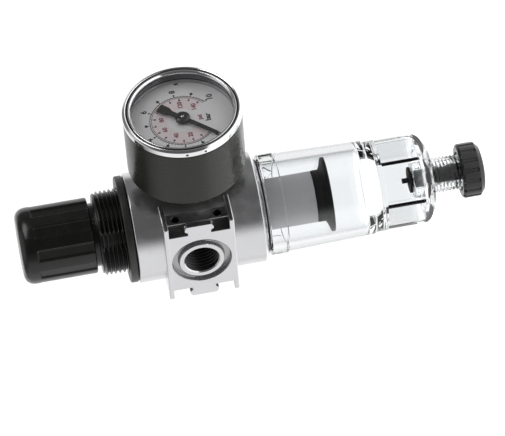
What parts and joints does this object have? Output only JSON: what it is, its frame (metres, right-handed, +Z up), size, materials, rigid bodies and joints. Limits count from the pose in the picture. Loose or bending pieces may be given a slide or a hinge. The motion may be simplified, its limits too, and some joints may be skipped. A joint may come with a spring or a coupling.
{
  "type": "filter regulator",
  "caption": "Compressed-air filter regulator: two-port cast body, round dial gauge, threaded bonnet with locking adjusting knob, clear bowl with filter and drain knob.",
  "frame": {"origin": "where the main axis (knob to drain) meets the axis of the two ports", "axes": "+Z up the main axis to the adjusting knob, ports open along -X and +X, the gauge faces -Y"},
  "size_m": [0.0402, 0.0761, 0.1618],
  "materials": {
    "cast": "satin die-cast",
    "black_plastic": "moulded, fine texture",
    "black_enamel": "black enamel",
    "clear_plastic": "clear polycarbonate",
    "filter_grey": "porous sintered plastic",
    "rubber_black": "nitrile",
    "spring_steel": "drawn wire and turned steel",
    "brass": "turned and stamped",
    "chrome_bezel": "bright",
    "dial_white": "printed white dial"
  },
  "bodies": {
    "housing": {"body": "cast", "bonnet": "black_plastic", "diaphragm": "rubber_black", "range_spring": "spring_steel", "valve_spring": "spring_steel", "valve_seat": "brass", "valve_guide": "brass", "swirl_ring": "black_plastic", "filter_element": "filter_grey", "baffle": "black_plastic", "rear_plug": "brass", "gauge_connector": "brass", "gauge_case": "black_enamel", "gauge_bezel": "chrome_bezel", "gauge_lens": "clear_plastic", "gauge_dial": "dial_white", "pointer_stop": "spring_steel", "movement_plate_rear": "brass", "movement_plate_front": "brass", "bourdon_tube": "brass", "tube_tip": "brass", "hairspring": "spring_steel"},
    "spindle": {"adjusting_screw": "spring_steel"},
    "knob": {"adjusting_knob": "black_plastic"},
    "nut_carriage": {"spring_nut": "brass"},
    "plate_carriage": {"diaphragm_plate": "brass"},
    "valve": {"valve_plug": "brass"},
    "clamp_nut": {"panel_nut": "black_plastic"},
    "bowl_seal": {"bowl_o_ring": "rubber_black"},
    "bowl_unit": {"bowl": "clear_plastic"},
    "drain_valve": {"drain_stem": "black_plastic", "drain_o_ring": "rubber_black"},
    "drain_cap": {"drain_knob": "black_plastic"},
    "pointer": {"gauge_pointer": "black_enamel", "pointer_shaft": "spring_steel"},
    "sector": {"sector_gear": "brass"},
    "link": {"tube_link": "spring_steel"}
  },
  "joints": [
    {"name": "spindle_turn", "type": "hinge", "parent": "housing", "child": "spindle", "pos_m": [0, 0, 0.031], "axis": [0, 0, 1], "range_deg": [-1080, 0]},
    {"name": "knob_pull", "type": "slide", "parent": "spindle", "child": "knob", "axis": [0, 0, 1], "range_m": [0, 0.0025]},
    {"name": "spring_nut_travel", "type": "slide", "parent": "housing", "child": "nut_carriage", "axis": [0, 0, 1], "range_m": [-0.003, 0], "deforming": ["range_spring"]},
    {"name": "diaphragm_stroke", "type": "slide", "parent": "housing", "child": "plate_carriage", "axis": [0, 0, 1], "range_m": [-0.0008, 0], "stiffness_N_per_m": 600, "springref_m": 0.0005},
    {"name": "valve_lift", "type": "slide", "parent": "housing", "child": "valve", "axis": [0, 0, 1], "range_m": [-0.0008, 0], "deforming": ["valve_spring"]},
    {"name": "panel_nut_travel", "type": "slide", "parent": "housing", "child": "clamp_nut", "axis": [0, 0, 1], "range_m": [0, 0.0095]},
    {"name": "bowl_unscrew_drop", "type": "slide", "parent": "housing", "child": "bowl_seal", "axis": [0, 0, 1], "range_m": [-0.006, 0]},
    {"name": "bowl_turn", "type": "hinge", "parent": "bowl_seal", "child": "bowl_unit", "pos_m": [0, 0, -0.045], "axis": [0, 0, 1], "range_deg": [-1440, 0]},
    {"name": "drain_lift", "type": "slide", "parent": "bowl_unit", "child": "drain_valve", "axis": [0, 0, 1], "range_m": [0, 0.0015]},
    {"name": "drain_knob_turn", "type": "hinge", "parent": "drain_valve", "child": "drain_cap", "pos_m": [0, 0, -0.097], "axis": [0, 0, 1], "range_deg": [0, 540]},
    {"name": "pointer_turn", "type": "hinge", "parent": "housing", "child": "pointer", "pos_m": [0, -0.0449, 0], "axis": [0, 1, 0], "range_deg": [0, 270], "stiffness_Nm_per_rad": 0.00002, "springref_deg": -17.19},
    {"name": "sector_swing", "type": "hinge", "parent": "housing", "child": "sector", "pos_m": [0, -0.0407, -0.0095], "axis": [0, 1, 0], "range_deg": [-54, 0]},
    {"name": "link_swing", "type": "hinge", "parent": "sector", "child": "link", "pos_m": [0.0036, -0.0418, -0.0103], "axis": [0, 1, 0], "range_deg": [0, 54]}
  ],
  "couplings": [
    {"joint": "spindle_turn", "follows": "spring_nut_travel", "rad_per_m": 6283.2},
    {"joint": "valve_lift", "follows": "diaphragm_stroke", "ratio": 1},
    {"joint": "bowl_turn", "follows": "bowl_unscrew_drop", "rad_per_m": 4188.8},
    {"joint": "drain_knob_turn", "follows": "drain_lift", "rad_per_m": 6283.2},
    {"joint": "sector_swing", "follows": "pointer_turn", "ratio": -0.2},
    {"joint": "link_swing", "follows": "pointer_turn", "ratio": 0.2}
  ]
}
